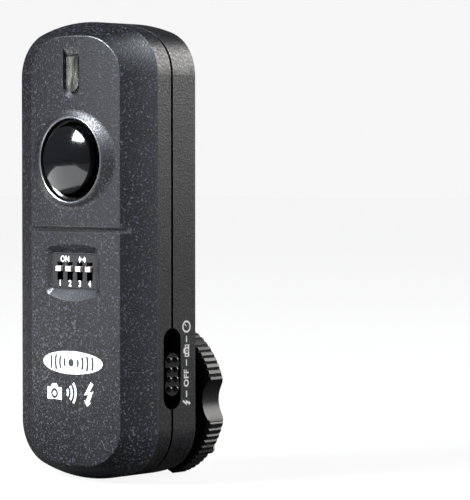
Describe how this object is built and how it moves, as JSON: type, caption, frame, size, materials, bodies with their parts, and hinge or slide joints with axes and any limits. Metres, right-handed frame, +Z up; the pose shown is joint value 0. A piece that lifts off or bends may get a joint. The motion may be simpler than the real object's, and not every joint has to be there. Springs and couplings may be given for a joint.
{
  "type": "wireless flash trigger",
  "caption": "Wireless flash trigger with a domed test button, status light, code switches, side mode slider, sync socket, sliding battery cover and a hot-shoe foot with a clamping wheel.",
  "frame": {"origin": "where the axis of the stem, wheel and centre contact meets the sole of the hot-shoe foot", "axes": "+X to the right seen from the front, +Y out of the foot's sole (the front face looks along -Y), +Z up the long axis"},
  "size_m": [0.0362, 0.0325, 0.0844],
  "materials": {
    "casing": "fine spark-eroded grain",
    "gloss_black": "polished",
    "bezel": "satin with a bright rim",
    "clear_lens": "clear moulded plastic",
    "led": "diffused",
    "switch_body": "fine matte",
    "lever_ivory": "satin",
    "inner_black": "matte",
    "label": "white print film",
    "board": "solder mask",
    "steel": "zinc plated",
    "tin": "tinned",
    "nickel": "bright nickel",
    "copper": "enamelled wire",
    "cell_jacket": "printed jacket, left plain",
    "foot_metal": "bright warm plating",
    "chrome": "polished"
  },
  "bodies": {
    "casing": {"front_shell": "casing", "back_shell": "casing", "led_lens": "clear_lens", "status_led": "led", "button_bezel": "bezel", "tact_switch": "tin", "dip_cover": "switch_body", "dip_base": "inner_black", "mode_switch": "inner_black", "sync_jack": "inner_black", "socket_ring": "nickel", "circuit_board": "board", "board_screws": "steel", "case_screws": "steel", "radio_board": "board", "radio_can": "tin", "antenna": "copper", "crystal": "tin", "cell_left": "cell_jacket", "cell_right": "cell_jacket", "cell_spring_left": "nickel", "cell_spring_right": "nickel", "contact_plates": "nickel", "label_plate": "label", "foot_stem": "inner_black", "foot_base": "inner_black", "foot_plate": "foot_metal", "contact_spring": "steel"},
    "button": {"button_cap": "gloss_black", "tact_plunger": "inner_black"},
    "dip_1": {"dip_lever_1": "lever_ivory"},
    "dip_2": {"dip_lever_2": "lever_ivory"},
    "dip_3": {"dip_lever_3": "lever_ivory"},
    "dip_4": {"dip_lever_4": "lever_ivory"},
    "mode": {"mode_knob": "gloss_black"},
    "cover": {"battery_cover": "casing"},
    "pin": {"contact_pin": "chrome"},
    "washer": {"drag_washer": "inner_black"},
    "wheel": {"lock_wheel": "gloss_black"}
  },
  "joints": [
    {"name": "button_press", "type": "slide", "parent": "casing", "child": "button", "axis": [0, 1, 0], "range_m": [0, 0.0008], "stiffness_N_per_m": 1500, "springref_m": -0.0003},
    {"name": "dip_1_slide", "type": "slide", "parent": "casing", "child": "dip_1", "axis": [0, 0, 1], "range_m": [-0.001, 0]},
    {"name": "dip_2_slide", "type": "slide", "parent": "casing", "child": "dip_2", "axis": [0, 0, 1], "range_m": [-0.001, 0]},
    {"name": "dip_3_slide", "type": "slide", "parent": "casing", "child": "dip_3", "axis": [0, 0, 1], "range_m": [-0.001, 0]},
    {"name": "dip_4_slide", "type": "slide", "parent": "casing", "child": "dip_4", "axis": [0, 0, 1], "range_m": [-0.001, 0]},
    {"name": "mode_slide", "type": "slide", "parent": "casing", "child": "mode", "axis": [0, 0, 1], "range_m": [-0.0023, 0.0044]},
    {"name": "cover_slide", "type": "slide", "parent": "casing", "child": "cover", "axis": [0, 0, 1], "range_m": [0, 0.045]},
    {"name": "contact_press", "type": "slide", "parent": "casing", "child": "pin", "axis": [0, -1, 0], "range_m": [0, 0.0006], "stiffness_N_per_m": 600, "springref_m": -0.0003, "deforming": ["contact_spring"]},
    {"name": "wheel_travel", "type": "slide", "parent": "casing", "child": "washer", "axis": [0, 1, 0], "range_m": [-0.0021, 0.0003]},
    {"name": "wheel_turn", "type": "hinge", "parent": "washer", "child": "wheel", "pos_m": [0, -0.005, 0], "axis": [0, 1, 0], "range_deg": [-504, 72]}
  ],
  "couplings": [
    {"joint": "wheel_turn", "follows": "wheel_travel", "rad_per_m": 4188.8}
  ]
}
